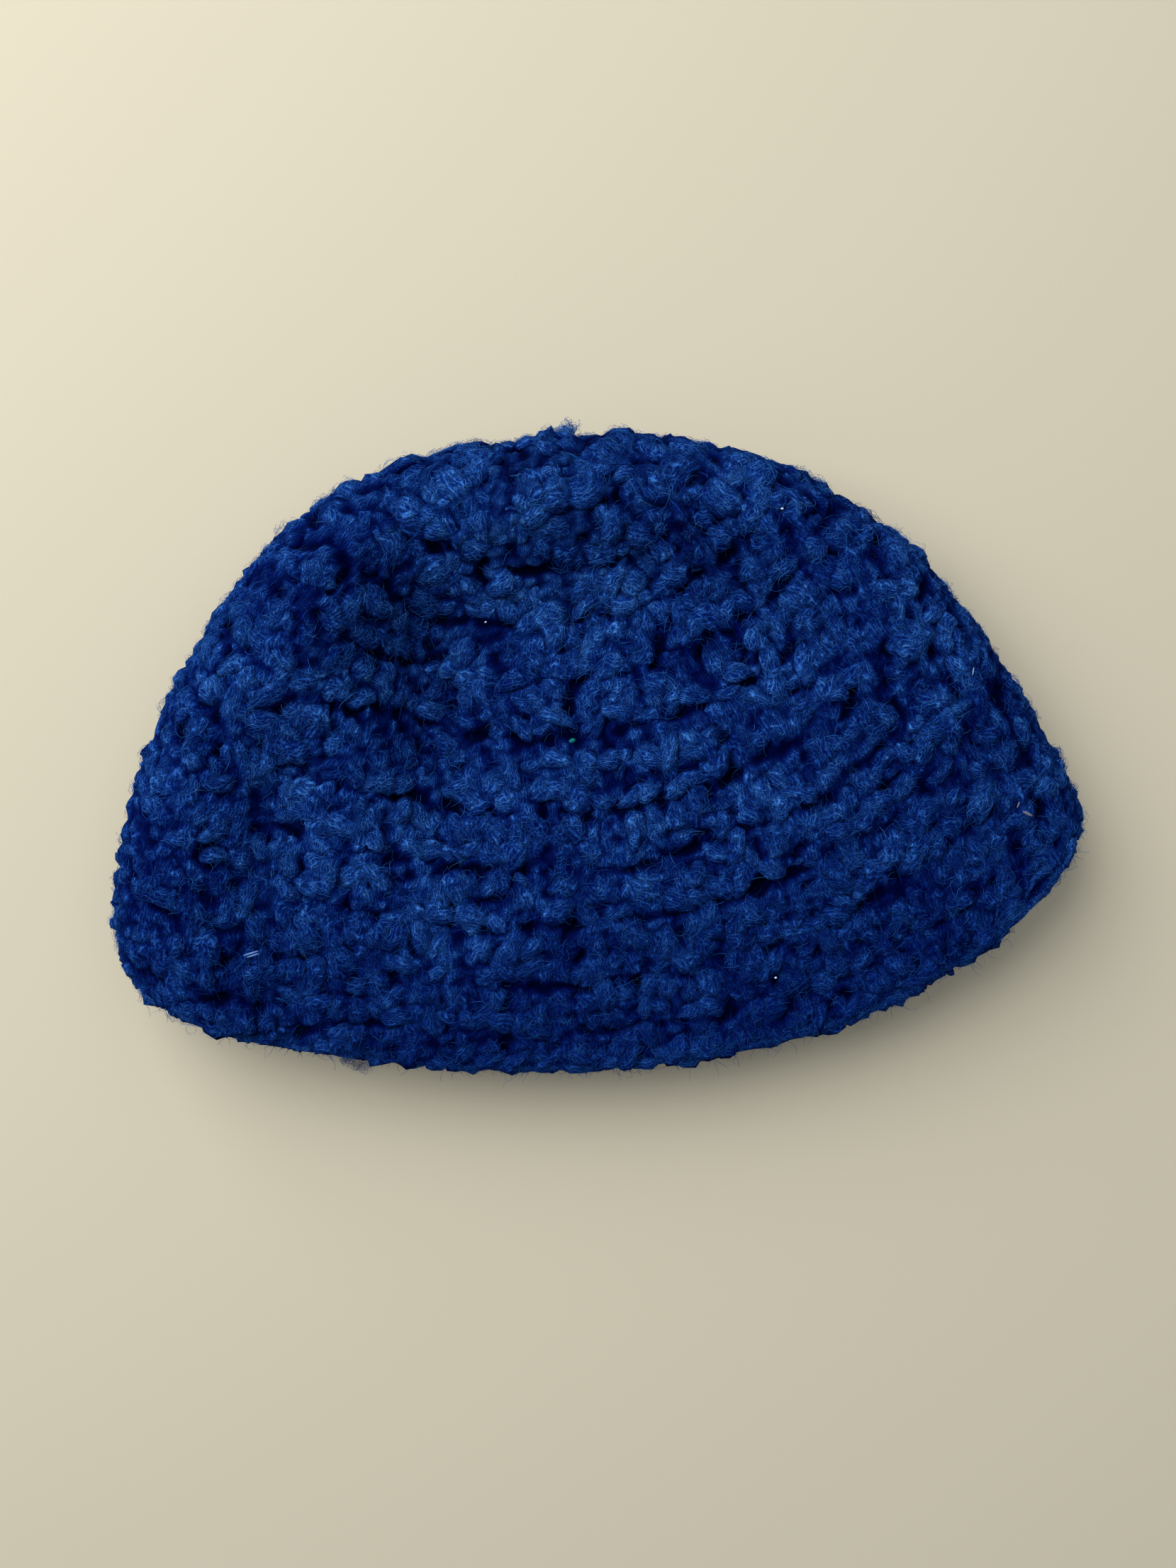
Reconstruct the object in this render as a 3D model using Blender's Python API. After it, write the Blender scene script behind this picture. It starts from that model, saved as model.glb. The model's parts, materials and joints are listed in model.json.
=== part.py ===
"""Crocheted beanie lying flat on its side: a hollow fabric shell and the yarn end at its crown.

Metres, +Z up. X runs along the line between the two corners of the mouth, +Y points from
the mouth to the crown, and the lower layer rests on z = 0.
"""
import math

import bpy
import numpy as np

HALF_WIDTH = 0.1195      # middle of the mouth to a corner of the mouth
CROWN_REACH = 0.117      # line between the mouth corners to the crown fold
MOUTH_DROP = 0.0415      # how far the upper edge bows out past that line
WALL = 0.008             # fabric thickness between the grooves
RIDGE = 0.0013           # height of a round above the groove beside it
HOLLOW = 0.0110          # space between the two layers of a plain spot
RIM_RISE = 0.0095        # how much the puffed crown fold adds to that space
SAG = 0.0060             # how much the sunken spot takes from it
TAIL_LENGTH = 0.0125
TAIL_RADIUS = 0.0021
TAIL_GAP = 0.0004        # clear space between the shell and the yarn end
TAIL_ACROSS = 0.0055     # yarn end to the start of the rounds

SEGMENTS = 88            # points round the hat, even on both layers
ROWS_IN_ROUND = 3
INNER_ROWS_IN_ROUND = 1.5
FOLD_SAMPLES = 240
LOOP_SAMPLES = 240

# Outline of the fold from the left corner of the mouth over the crown to the right corner.
# across: share of HALF_WIDTH, up: share of CROWN_REACH
FOLD_OUTLINE = (
    # across, up
    (-0.985, -0.012),
    (-1.016, 0.085),
    (-0.984, 0.256),
    (-0.917, 0.427),
    (-0.864, 0.513),
    (-0.810, 0.598),
    (-0.743, 0.684),
    (-0.663, 0.769),
    (-0.576, 0.852),
    (-0.440, 0.940),
    (-0.300, 0.982),
    (-0.120, 0.998),
    (0.080, 0.982),
    (0.240, 0.962),
    (0.400, 0.905),
    (0.520, 0.845),
    (0.620, 0.760),
    (0.703, 0.684),
    (0.767, 0.598),
    (0.860, 0.427),
    (0.931, 0.256),
    (0.991, 0.085),
    (1.000, -0.012),
)
CROWN_ACROSS = 0.035     # where on the outline the rounds start, share of HALF_WIDTH

# Outer edge of each round: where it crosses the fold and the middle of each layer.
# fold: share of the way from the crown to a corner; upper, under: share of the way along the
# fabric from the crown to the lowest point of the upper edge; bow: 0.5 hangs like a circle
ROUNDS = (
    # fold, upper, under, bow
    (0.075, 0.075, 0.075, 0.88),
    (0.155, 0.149, 0.148, 0.76),
    (0.235, 0.225, 0.222, 0.68),
    (0.315, 0.308, 0.300, 0.65),
    (0.395, 0.402, 0.390, 0.64),
    (0.475, 0.487, 0.475, 0.66),
    (0.560, 0.604, 0.580, 0.67),
    (0.645, 0.688, 0.665, 0.68),
    (0.735, 0.772, 0.750, 0.69),
    (0.825, 0.861, 0.835, 0.70),
    (0.912, 0.937, 0.910, 0.70),
    (1.000, 1.000, 0.970, 0.70),
)
SKEW = 0.21              # the arcs hang lower on the right, share of MOUTH_DROP

# Soft bumps and dents of the upper layer: where, how wide, and the change in height.
# across, half_across: share of HALF_WIDTH; up, half_up: share of CROWN_REACH; rise: share of SAG
SURFACE_BUMPS = (
    # across, up, half_across, half_up, rise
    (-0.290, 0.560, 0.170, 0.300, -1.05),
    (0.100, 0.600, 0.420, 0.260, -0.45),
    (-0.560, 0.480, 0.170, 0.330, 0.55),
    (0.480, 0.360, 0.260, 0.280, 0.40),
    (0.000, -0.330, 1.200, 0.240, -0.70),
)

YARN_COLOUR = (0.012, 0.055, 0.190, 1.0)
TAIL_COLOUR = (0.030, 0.095, 0.270, 1.0)


def smooth_line(points, samples):
    """Even samples of a smooth line through the points."""
    points = np.asarray(points, float)
    ends = np.vstack([2 * points[0] - points[1], points, 2 * points[-1] - points[-2]])
    dense = []
    for i in range(1, len(ends) - 2):
        a, b, c, d = ends[i - 1:i + 3]
        for t in np.linspace(0.0, 1.0, 12, endpoint=False):
            dense.append(b + 0.5 * t * (c - a + t * (2 * a - 5 * b + 4 * c - d
                                                     + t * (3 * (b - c) + d - a))))
    return even_samples(np.vstack([dense, points[-1]]), samples)


def even_samples(line, samples):
    """Points at equal steps along a line of points."""
    steps = np.linalg.norm(np.diff(line, axis=0), axis=1)
    along = np.concatenate([[0.0], np.cumsum(steps)])
    wanted = np.linspace(0.0, along[-1], samples)
    return np.stack([np.interp(wanted, along, line[:, k]) for k in range(line.shape[1])], axis=1)


def fold_line():
    """The fold of the middle of the fabric, seen from above."""
    outline = smooth_line(FOLD_OUTLINE, FOLD_SAMPLES) * (HALF_WIDTH, CROWN_REACH)
    ahead = np.gradient(outline, axis=0)
    inward = np.stack([ahead[:, 1], -ahead[:, 0]], axis=1)
    inward /= np.linalg.norm(inward, axis=1)[:, None]
    return outline + inward * (WALL / 2 + RIDGE)


def fold_distance(line, spots):
    """Distance of each spot from the fold line, seen from above."""
    start, step = line[:-1], np.diff(line, axis=0)
    length = (step ** 2).sum(axis=1)
    out = []
    for spot in spots:
        share = np.clip(((spot - start) * step).sum(axis=1) / length, 0.0, 1.0)
        out.append(np.linalg.norm(start + step * share[:, None] - spot, axis=1).min())
    return np.asarray(out)


def hollow_height(spots, distance):
    """Space between the two layers at each spot."""
    across, up = spots[:, 0] / HALF_WIDTH, spots[:, 1] / CROWN_REACH
    crown_share = np.clip(0.25 + 0.9 * up - 0.35 * across, 0.0, 1.0)
    rim = np.exp(-(np.maximum(distance / (HOLLOW + WALL) - 0.75, 0.0) / 0.75) ** 2)
    height = HOLLOW + RIM_RISE * crown_share * rim
    for mid_x, mid_y, half_x, half_y, rise in SURFACE_BUMPS:
        height += SAG * rise * np.exp(-((across - mid_x) / half_x) ** 2
                                      - ((up - mid_y) / half_y) ** 2)
    return height


def round_values(position):
    """Fold, upper, under and bow values at a position counted in rounds from the crown."""
    rows = np.vstack([[0.0, 0.0, 0.0, 1.0], ROUNDS])
    line = np.arange(len(rows), dtype=float)
    low = min(int(position), len(rows) - 2)
    t = position - line[low]
    before, here = rows[max(low - 1, 0)], rows[low]
    after, later = rows[low + 1], rows[min(low + 2, len(rows) - 1)]
    slope_here = (after - before) / (2.0 if low else 1.0)
    slope_after = (later - here) / (2.0 if low + 2 < len(rows) else 1.0)
    return ((2 * t ** 3 - 3 * t ** 2 + 1) * here + (t ** 3 - 2 * t ** 2 + t) * slope_here
            + (3 * t ** 2 - 2 * t ** 3) * after + (t ** 3 - t ** 2) * slope_after)


def layer_arc(line, crown, position, under):
    """One layer's half of the ring at a position, from the right fold to the left fold."""
    fold, upper_reach, under_reach, bow = round_values(position)
    right = point_along(line[crown:], fold)
    left = point_along(line[crown::-1], fold)
    turn = np.linspace(0.0, math.pi, LOOP_SAMPLES)
    across, lift = np.cos(turn), np.sin(turn)
    middle, half = (right + left) / 2, (right - left) / 2
    crown_up = line[crown, 1]
    bend = crown_bend(line[crown])
    whole = crown_up + MOUTH_DROP - WALL / 4 + (math.pi / 2 - 1.0) * bend
    lowest = crown_up - laid_flat((under_reach if under else upper_reach) * whole, bend)
    down = middle[1] - lowest
    x = middle[0] + half[0] * across
    y = middle[1] + half[1] * across - down * np.abs(lift) ** (2 * bow)
    y -= SKEW * MOUTH_DROP * fold ** 2 * across * lift ** 2
    spots = np.stack([x, y], axis=1)
    distance = fold_distance(line, spots)
    distance[[0, -1]] = 0.0
    half_height = (WALL + hollow_height(spots, distance)) / 2
    inset = np.clip(distance / half_height, 0.0, 1.0)
    swell = np.sqrt(1.0 - (1.0 - inset) ** 2)
    z = WALL / 2 + half_height * (1.0 - swell if under else 1.0 + swell)
    return np.column_stack([spots, z])


def crown_bend(top):
    """Radius of the fabric's bend at the top of the crown."""
    return (WALL + hollow_height(top[None], np.zeros(1))[0]) / 2


def laid_flat(along, bend):
    """How far below the fold a point lies, from its way along the fabric round the bend."""
    angle = min(along / bend, math.pi / 2)
    return bend * (1.0 - math.cos(angle)) + max(along - bend * math.pi / 2, 0.0)


def point_along(line, share):
    """The point at a share of a line's length."""
    place = share * (len(line) - 1)
    low = min(int(place), len(line) - 2)
    return line[low] + (line[low + 1] - line[low]) * (place - low)


def middle_ring(line, crown, position):
    """The ring of points in the middle of the fabric at a position."""
    half = SEGMENTS // 2 + 1
    upper = even_samples(layer_arc(line, crown, position, False), half)
    under = even_samples(layer_arc(line, crown, position, True), half)
    return np.vstack([upper[:-1], under[:0:-1]])


def fabric_grid(line, crown, positions):
    """Rings of mid-fabric points and their outward directions."""
    rings = np.stack([middle_ring(line, crown, p) for p in positions])
    around = np.roll(rings, -1, axis=1) - np.roll(rings, 1, axis=1)
    outward = np.cross(around, np.gradient(rings, axis=0))
    outward /= np.linalg.norm(outward, axis=2)[:, :, None]
    return rings, outward


def ridge_height(positions):
    """Height of the rounds above their grooves."""
    return RIDGE * np.sqrt(np.abs(np.sin(math.pi * np.asarray(positions))))


def edge_rings(middle, outward):
    """Rings that round off the edge of the mouth, from the outer to the inner side."""
    onward = middle[-1] - middle[-2]
    onward /= np.linalg.norm(onward, axis=1)[:, None]
    rings = []
    for degrees in (60, 90, 120):
        turn = math.radians(degrees)
        rings.append(middle[-1] + WALL / 2 * (math.cos(turn) * outward[-1]
                                              + 0.7 * math.sin(turn) * onward))
    return np.stack(rings)


def shell_rings():
    """Outer rings from the crown to the edge, then inner rings back to the crown."""
    line = fold_line()
    crown = int(np.argmin(np.abs(line[:, 0] - CROWN_ACROSS * HALF_WIDTH)
                          + (line[:, 1] < CROWN_REACH / 2)))
    last = float(len(ROUNDS))
    outer_at = np.linspace(0.0, last, len(ROUNDS) * ROWS_IN_ROUND + 1)[1:]
    inner_at = np.linspace(0.0, last, int(len(ROUNDS) * INNER_ROWS_IN_ROUND) + 1)[1:]
    middle, outward = fabric_grid(line, crown, outer_at)
    outer = middle + outward * (WALL / 2 + ridge_height(outer_at))[:, None, None]
    outer = np.concatenate([outer, edge_rings(middle, outward)])
    outer[:, :, 2] = np.maximum(outer[:, :, 2], 0.0)
    middle, outward = fabric_grid(line, crown, inner_at)
    inner = middle - outward * WALL / 2
    top, rise = line[crown], WALL / 2 + crown_bend(line[crown])
    tips = [(top[0], top[1] + WALL / 2, rise), (top[0], top[1] - WALL / 2, rise)]
    return outer, inner[::-1], tips


def add_mesh(name, points, faces, colour, roughness):
    """A mesh object with its own material."""
    mesh = bpy.data.meshes.new(name)
    mesh.from_pydata([tuple(p) for p in points], [], faces)
    mesh.validate()
    mesh.update()
    material = bpy.data.materials.new(name + "_yarn")
    material.use_nodes = True
    shader = next(n for n in material.node_tree.nodes if n.type == "BSDF_PRINCIPLED")
    shader.inputs["Base Color"].default_value = colour
    shader.inputs["Roughness"].default_value = roughness
    mesh.materials.append(material)
    thing = bpy.data.objects.new(name, mesh)
    bpy.context.scene.collection.objects.link(thing)
    return thing


def closed_skin(rings, tips):
    """Points and faces of rings joined in a row and closed by a tip at each end."""
    count = rings.shape[1]
    points = [tips[0]] + [tuple(p) for ring in rings for p in ring] + [tips[1]]
    last = len(points) - 1
    faces = []
    for row in range(len(rings) - 1):
        for i in range(count):
            a, b = 1 + row * count + i, 1 + row * count + (i + 1) % count
            faces.append((a, b, b + count, a + count))
    for i in range(count):
        j = (i + 1) % count
        faces.append((0, 1 + j, 1 + i))
        faces.append((last, last - count + i, last - count + j))
    return points, faces


def shell_skin():
    """The crocheted fabric, one hollow solid, its outer rings and the crown's outer point."""
    outer, inner, tips = shell_rings()
    points, faces = closed_skin(np.concatenate([outer, inner]), tips)
    return np.asarray(points), faces, outer, tips[0]


def tail_skin(outer, crown_tip):
    """The yarn end at the crown: a short stub along the fold, fullest in its middle."""
    place = crown_tip[0] + TAIL_ACROSS
    near = np.abs(outer[:, :, 0] - place) < TAIL_LENGTH * 0.6
    fold_top = outer[:, :, 1][near].max()
    turns, steps = 16, 8
    angle = np.linspace(0.0, 2 * math.pi, turns, endpoint=False)
    rings = []
    for share in np.linspace(0.0, 1.0, steps + 1):
        radius = TAIL_RADIUS * (0.35 + 0.65 * math.sin(math.pi * share))
        along = np.full(turns, TAIL_LENGTH * (share - 0.5))
        rings.append(np.stack([along, radius * np.cos(angle), radius * np.sin(angle)], axis=1))
    rings = np.stack(rings) + (place, fold_top + TAIL_GAP + TAIL_RADIUS, crown_tip[2])
    tips = [rings[0].mean(axis=0), rings[-1].mean(axis=0)]
    points, faces = closed_skin(rings, tips)
    return np.asarray(points), faces


for thing in list(bpy.data.objects):
    bpy.data.objects.remove(thing, do_unlink=True)
shell_points, shell_faces, outer_rings, crown_point = shell_skin()
tail_points, tail_faces = tail_skin(outer_rings, crown_point)
both = np.vstack([shell_points, tail_points])
to_centre = -(both.min(axis=0) + both.max(axis=0)) / 2 * (1.0, 1.0, 0.0)
add_mesh("crochet_shell", shell_points + to_centre, shell_faces, YARN_COLOUR, 0.95)
add_mesh("crown_tail", tail_points + to_centre, tail_faces, TAIL_COLOUR, 0.95)
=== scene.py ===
import json
import math

import bmesh
import bpy
import numpy as np
from mathutils import Euler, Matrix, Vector

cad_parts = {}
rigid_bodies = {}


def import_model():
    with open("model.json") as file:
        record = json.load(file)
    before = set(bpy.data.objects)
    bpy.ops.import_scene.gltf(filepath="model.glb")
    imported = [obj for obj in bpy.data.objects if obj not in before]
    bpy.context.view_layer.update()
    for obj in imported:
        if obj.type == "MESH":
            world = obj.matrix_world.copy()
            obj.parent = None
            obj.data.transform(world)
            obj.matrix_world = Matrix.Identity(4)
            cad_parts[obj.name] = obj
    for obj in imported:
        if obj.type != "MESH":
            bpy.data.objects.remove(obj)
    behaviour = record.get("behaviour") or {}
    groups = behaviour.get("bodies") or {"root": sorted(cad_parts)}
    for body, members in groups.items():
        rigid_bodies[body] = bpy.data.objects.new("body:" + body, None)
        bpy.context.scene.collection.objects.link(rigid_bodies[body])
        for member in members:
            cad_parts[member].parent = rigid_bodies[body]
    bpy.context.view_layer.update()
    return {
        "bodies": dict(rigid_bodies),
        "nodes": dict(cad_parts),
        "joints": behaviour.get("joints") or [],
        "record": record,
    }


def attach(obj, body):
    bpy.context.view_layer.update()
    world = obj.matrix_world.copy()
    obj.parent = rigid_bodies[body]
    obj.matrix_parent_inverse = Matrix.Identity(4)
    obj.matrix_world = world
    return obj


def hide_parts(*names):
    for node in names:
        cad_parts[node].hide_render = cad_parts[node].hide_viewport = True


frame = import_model()
rng = np.random.default_rng(41)

# the fabric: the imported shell's form, with a deeper dent and a higher ridge beside it, in metres
fabric = {
    "halfWidth": 0.1195,
    "crownReach": 0.117,
    "mouthDrop": 0.0415,
    "wall": 0.008,
    "ridge": 0.0013,
    "hollow": 0.0110,
    "rimRise": 0.0095,
    "sag": 0.0060,
    "skew": 0.21,
    "crownAcross": 0.035,
    "toCentre": (0.00102836, -0.03829936, 0.0),
    "foldOutline": (  # across, up, from the left corner of the mouth over the crown
        (-0.985, -0.012), (-1.016, 0.085), (-0.984, 0.256), (-0.917, 0.427), (-0.864, 0.513),
        (-0.810, 0.598), (-0.743, 0.684), (-0.663, 0.769), (-0.576, 0.852), (-0.440, 0.940),
        (-0.300, 0.982), (-0.120, 0.998), (0.080, 0.982), (0.240, 0.962), (0.400, 0.905),
        (0.520, 0.845), (0.620, 0.760), (0.703, 0.684), (0.767, 0.598), (0.860, 0.427),
        (0.931, 0.256), (0.991, 0.085), (1.000, -0.012)),
    "rounds": (  # fold, upper, under, bow
        (0.000, 0.000, 0.000, 1.00), (0.075, 0.075, 0.075, 0.88), (0.155, 0.149, 0.148, 0.76),
        (0.235, 0.225, 0.222, 0.68), (0.315, 0.308, 0.300, 0.65), (0.395, 0.402, 0.390, 0.64),
        (0.475, 0.487, 0.475, 0.66), (0.560, 0.604, 0.580, 0.67), (0.645, 0.688, 0.665, 0.68),
        (0.735, 0.772, 0.750, 0.69), (0.825, 0.861, 0.835, 0.70), (0.912, 0.937, 0.910, 0.70),
        (1.000, 1.000, 0.970, 0.70)),
    "bumps": (  # across, up, half across, half up, rise
        (-0.275, 0.530, 0.120, 0.290, -1.60), (0.100, 0.600, 0.420, 0.260, -0.45),
        (-0.475, 0.480, 0.120, 0.330, 1.00), (0.480, 0.360, 0.260, 0.280, 0.40),
        (0.000, -0.330, 1.200, 0.240, -0.70)),
    "firstRound": 0.06,
    "ringPoints": 176,
    "rowsInRound": 8,
    "bendLimits": (-60.0, 140.0),   # curvatures, 1 / m
}


def evenSamples(line, samples):
    along = np.concatenate([[0.0], np.cumsum(np.linalg.norm(np.diff(line, axis=0), axis=1))])
    wanted = np.linspace(0.0, along[-1], samples)
    return np.stack([np.interp(wanted, along, line[:, k]) for k in range(line.shape[1])], axis=1)


def foldLine():
    points = np.array(fabric["foldOutline"])
    ends = np.vstack([2 * points[0] - points[1], points, 2 * points[-1] - points[-2]])
    dense = []
    for i in range(1, len(ends) - 2):
        a, b, c, d = ends[i - 1:i + 3]
        for t in np.linspace(0.0, 1.0, 12, endpoint=False):
            dense.append(b + 0.5 * t * (c - a + t * (2 * a - 5 * b + 4 * c - d + t * (3 * (b - c) + d - a))))
    line = evenSamples(np.vstack([dense, points[-1]]), 240) * (fabric["halfWidth"], fabric["crownReach"])
    ahead = np.gradient(line, axis=0)
    inward = np.stack([ahead[:, 1], -ahead[:, 0]], axis=1)
    inward /= np.linalg.norm(inward, axis=1)[:, None]
    return line + inward * (fabric["wall"] / 2 + fabric["ridge"])


def foldDistance(line, spots):
    start, step = line[:-1], np.diff(line, axis=0)
    away = spots[:, None, :] - start[None]
    share = np.clip((away * step).sum(axis=2) / (step ** 2).sum(axis=1), 0.0, 1.0)
    return np.linalg.norm(away - step * share[:, :, None], axis=2).min(axis=1)


def hollowHeight(spots, distance):
    across, up = spots[:, 0] / fabric["halfWidth"], spots[:, 1] / fabric["crownReach"]
    crownShare = np.clip(0.25 + 0.9 * up - 0.35 * across, 0.0, 1.0)
    far = np.maximum(distance / (fabric["hollow"] + fabric["wall"]) - 0.75, 0.0)
    height = fabric["hollow"] + fabric["rimRise"] * crownShare * np.exp(-(far / 0.75) ** 2)
    for midX, midY, halfX, halfY, rise in fabric["bumps"]:
        height += fabric["sag"] * rise * np.exp(-((across - midX) / halfX) ** 2 - ((up - midY) / halfY) ** 2)
    return height


def roundValues(position):
    rows = np.array(fabric["rounds"])
    low = min(int(position), len(rows) - 2)
    t = position - low
    here, after = rows[low], rows[low + 1]
    before, later = rows[max(low - 1, 0)], rows[min(low + 2, len(rows) - 1)]
    slopeHere = (after - before) / (2.0 if low else 1.0)
    slopeAfter = (later - here) / (2.0 if low + 2 < len(rows) else 1.0)
    return ((2 * t ** 3 - 3 * t ** 2 + 1) * here + (t ** 3 - 2 * t ** 2 + t) * slopeHere
            + (3 * t ** 2 - 2 * t ** 3) * after + (t ** 3 - t ** 2) * slopeAfter)


def pointAlong(line, share):
    place = share * (len(line) - 1)
    low = min(int(place), len(line) - 2)
    return line[low] + (line[low + 1] - line[low]) * (place - low)


def layerArc(line, crown, position, under):
    fold, upperReach, underReach, bow = roundValues(position)
    right, left = pointAlong(line[crown:], fold), pointAlong(line[crown::-1], fold)
    turn = np.linspace(0.0, math.pi, 240)
    across, lift = np.cos(turn), np.sin(turn)
    middle, half = (right + left) / 2, (right - left) / 2
    crownUp = line[crown, 1]
    bend = (fabric["wall"] + hollowHeight(line[crown][None], np.zeros(1))[0]) / 2
    whole = crownUp + fabric["mouthDrop"] - fabric["wall"] / 4 + (math.pi / 2 - 1.0) * bend
    along = (underReach if under else upperReach) * whole
    angle = min(along / bend, math.pi / 2)
    lowest = crownUp - bend * (1.0 - math.cos(angle)) - max(along - bend * math.pi / 2, 0.0)
    y = middle[1] + half[1] * across - (middle[1] - lowest) * np.abs(lift) ** (2 * bow)
    y -= fabric["skew"] * fabric["mouthDrop"] * fold ** 2 * across * lift ** 2
    spots = np.stack([middle[0] + half[0] * across, y], axis=1)
    distance = foldDistance(line, spots)
    distance[[0, -1]] = 0.0
    halfHeight = (fabric["wall"] + hollowHeight(spots, distance)) / 2
    swell = np.sqrt(1.0 - (1.0 - np.clip(distance / halfHeight, 0.0, 1.0)) ** 2)
    z = fabric["wall"] / 2 + halfHeight * (1.0 - swell if under else 1.0 + swell)
    return np.column_stack([spots, z])


def layFabric():  # rings in the middle of the fabric, their outward directions and steps
    line = foldLine()
    crown = int(np.argmin(np.abs(line[:, 0] - fabric["crownAcross"] * fabric["halfWidth"])
                          + (line[:, 1] < fabric["crownReach"] / 2)))
    last = len(fabric["rounds"]) - 1
    positions = np.linspace(fabric["firstRound"], last, last * fabric["rowsInRound"] + 1)
    half = fabric["ringPoints"] // 2 + 1
    rings = []
    for position in positions:
        upper = evenSamples(layerArc(line, crown, position, False), half)
        under = evenSamples(layerArc(line, crown, position, True), half)
        rings.append(np.vstack([upper[:-1], under[:0:-1]]))
    rings = np.array(rings) + fabric["toCentre"]
    around = (np.roll(rings, -1, axis=1) - np.roll(rings, 1, axis=1)) * fabric["ringPoints"] / 2
    onward = np.gradient(rings, axis=0) / (positions[1] - positions[0])
    outward = np.cross(around, onward)
    outward /= np.linalg.norm(outward, axis=2)[:, :, None]
    ringLength = np.linalg.norm(around, axis=2)
    along = around / ringLength[:, :, None]
    across = np.cross(outward, along)
    roundHeight = np.maximum((onward * across).sum(axis=2), 0.004)
    slip = -(onward * along).sum(axis=2) / roundHeight / ringLength
    steps = np.stack([1.0 / np.maximum(ringLength, 0.02), slip, 1.0 / roundHeight], axis=2)
    turning = (np.roll(outward, -1, axis=1) - np.roll(outward, 1, axis=1)) * fabric["ringPoints"] / 2
    tilting = np.gradient(outward, axis=0) / (positions[1] - positions[0])
    bendAlong = (turning * along).sum(axis=2) * steps[:, :, 0]
    bendAcross = (tilting * across).sum(axis=2) * steps[:, :, 2] + (turning * across).sum(axis=2) * slip
    bends = np.clip(np.stack([bendAlong, bendAcross], axis=2), *fabric["bendLimits"])
    return rings, outward, steps, np.concatenate([along, across, outward, bends], axis=2)


fabricRings, fabricOut, fabricSteps, fabricFrames = layFabric()
roundCount = len(fabric["rounds"]) - 1


def fromRings(grid, turn, position):
    rows, points = grid.shape[:2]
    share = (position - fabric["firstRound"]) / (roundCount - fabric["firstRound"])
    rowAt = np.maximum(share * (rows - 1), 0.0)
    row = np.minimum(rowAt.astype(int), rows - 2)
    rowShare = (rowAt - row)[..., None]
    pointAt = np.mod(turn, 1.0) * points
    point = pointAt.astype(int) % points
    pointShare = (pointAt - np.floor(pointAt))[..., None]
    after = (point + 1) % points
    near = grid[row, point] * (1 - pointShare) + grid[row, after] * pointShare
    far = grid[row + 1, point] * (1 - pointShare) + grid[row + 1, after] * pointShare
    return near + (far - near) * rowShare


def onFabric(turn, position, height):
    outward = fromRings(fabricOut, turn, np.minimum(position, roundCount))
    return fromRings(fabricRings, turn, position) + outward * height[..., None]


def facingUp(turn, position):  # 1 where the fabric lies flat on top, 0 where it stands on edge
    return fromRings(fabricOut, turn, np.minimum(position, roundCount))[:, 2]


def nearestUpper(x, y):  # turn and round of the upper layer under a spot
    half = fabric["ringPoints"] // 2
    away = np.linalg.norm(fabricRings[:, :half, :2] - (x, y), axis=2)
    row, point = np.unravel_index(np.argmin(away), away.shape)
    position = fabric["firstRound"] + row / (len(fabricRings) - 1) * (roundCount - fabric["firstRound"])
    return point / fabric["ringPoints"], position


print("fabric laid", fabricRings.shape)


# shader maths
class Wire:
    def __init__(self, look, socket):
        self.look, self.socket = look, socket

    def combine(self, operation, first, second=0.0, clamp=False):
        return self.look.node("ShaderNodeMath", {"operation": operation, "use_clamp": clamp},
                              {0: first, 1: second})

    def __add__(self, other):
        return self.combine("ADD", self, other)

    def __radd__(self, other):
        return self.combine("ADD", other, self)

    def __sub__(self, other):
        return self.combine("SUBTRACT", self, other)

    def __rsub__(self, other):
        return self.combine("SUBTRACT", other, self)

    def __mul__(self, other):
        return self.combine("MULTIPLY", self, other)

    def __rmul__(self, other):
        return self.combine("MULTIPLY", other, self)

    def __truediv__(self, other):
        return self.combine("DIVIDE", self, other)

    def __rtruediv__(self, other):
        return self.combine("DIVIDE", other, self)

    def __abs__(self):
        return self.combine("ABSOLUTE", self)

    def larger(self, other):
        return self.combine("MAXIMUM", self, other)

    def clamped(self):
        return self.combine("ADD", self, 0.0, True)


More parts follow.
